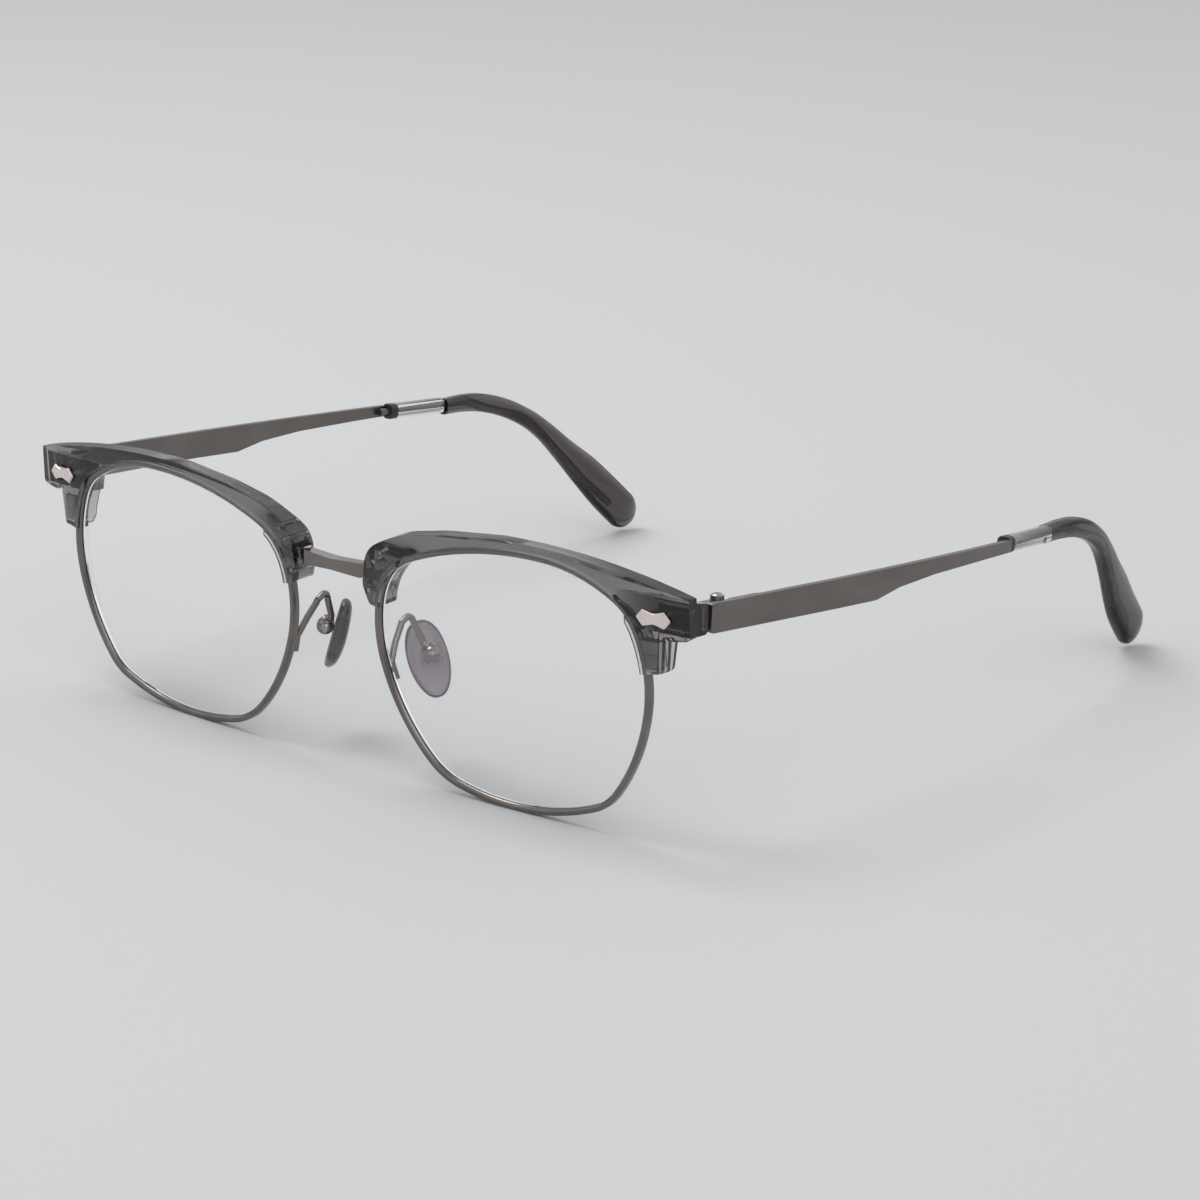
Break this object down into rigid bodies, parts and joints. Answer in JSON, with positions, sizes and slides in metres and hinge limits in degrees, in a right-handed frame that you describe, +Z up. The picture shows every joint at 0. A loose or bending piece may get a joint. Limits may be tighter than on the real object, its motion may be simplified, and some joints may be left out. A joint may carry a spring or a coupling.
{
  "type": "browline glasses",
  "caption": "Browline eyeglasses with smoke acetate brow pieces over thin metal rims, clear lenses, sprung nose pads and folding flat metal temples with curved acetate tips.",
  "frame": {"origin": "middle of the footprint on the table, under the open glasses as they stand on rim bottoms and temple tips", "axes": "+Z up, the lenses face -Y, the open temples run back along +Y, +X to the right seen from the front"},
  "size_m": [0.1436, 0.1472, 0.0445],
  "materials": {
    "smoke_acetate": "polished smoke-grey translucent acetate",
    "gunmetal": "satin gunmetal plating",
    "brushed_temple": "lengthwise brushed gunmetal",
    "satin_plaque": "satin, faintly pink",
    "screw_steel": "turned",
    "clear_lens": "polished, clear",
    "clear_sleeve": "polished, clear",
    "dark_ring": "plain",
    "tip_acetate": "polished grey-brown translucent acetate",
    "pad_silicone": "translucent, softly polished"
  },
  "bodies": {
    "front": {"bridge": "gunmetal", "left_brow": "smoke_acetate", "right_brow": "smoke_acetate", "left_rim": "gunmetal", "right_rim": "gunmetal", "left_lens": "clear_lens", "right_lens": "clear_lens", "left_closing_block": "gunmetal", "right_closing_block": "gunmetal", "left_lock_screw": "screw_steel", "right_lock_screw": "screw_steel", "left_brow_pins": "screw_steel", "right_brow_pins": "screw_steel", "left_plaque": "satin_plaque", "right_plaque": "satin_plaque", "left_pad_arm": "gunmetal", "right_pad_arm": "gunmetal", "left_pad_screw": "screw_steel", "right_pad_screw": "screw_steel", "left_hinge_front": "gunmetal", "right_hinge_front": "gunmetal", "left_hinge_screw": "screw_steel", "right_hinge_screw": "screw_steel"},
    "left_pad": {"left_nose_pad": "pad_silicone"},
    "right_pad": {"right_nose_pad": "pad_silicone"},
    "left_arm": {"left_hinge_rear": "gunmetal", "left_temple": "brushed_temple", "left_ring": "dark_ring", "left_sleeve": "clear_sleeve", "left_tip": "tip_acetate"},
    "right_arm": {"right_hinge_rear": "gunmetal", "right_temple": "brushed_temple", "right_ring": "dark_ring", "right_sleeve": "clear_sleeve", "right_tip": "tip_acetate"}
  },
  "joints": [
    {"name": "left_temple_fold", "type": "hinge", "parent": "front", "child": "left_arm", "pos_m": [-0.0683, -0.05987, 0.0369], "axis": [0, -0.0732, -0.9973], "range_deg": [0, 86]},
    {"name": "right_temple_fold", "type": "hinge", "parent": "front", "child": "right_arm", "pos_m": [0.0683, -0.05987, 0.0369], "axis": [0, 0.0732, 0.9973], "range_deg": [0, 72]},
    {"name": "left_pad_rock", "type": "hinge", "parent": "front", "child": "left_pad", "pos_m": [-0.01195, -0.06167, 0.0189], "axis": [-0.6395, 0.7646, 0.0803], "range_deg": [-6, 6]},
    {"name": "right_pad_rock", "type": "hinge", "parent": "front", "child": "right_pad", "pos_m": [0.01195, -0.06167, 0.0189], "axis": [0.6395, 0.7646, 0.0803], "range_deg": [-6, 6]}
  ]
}
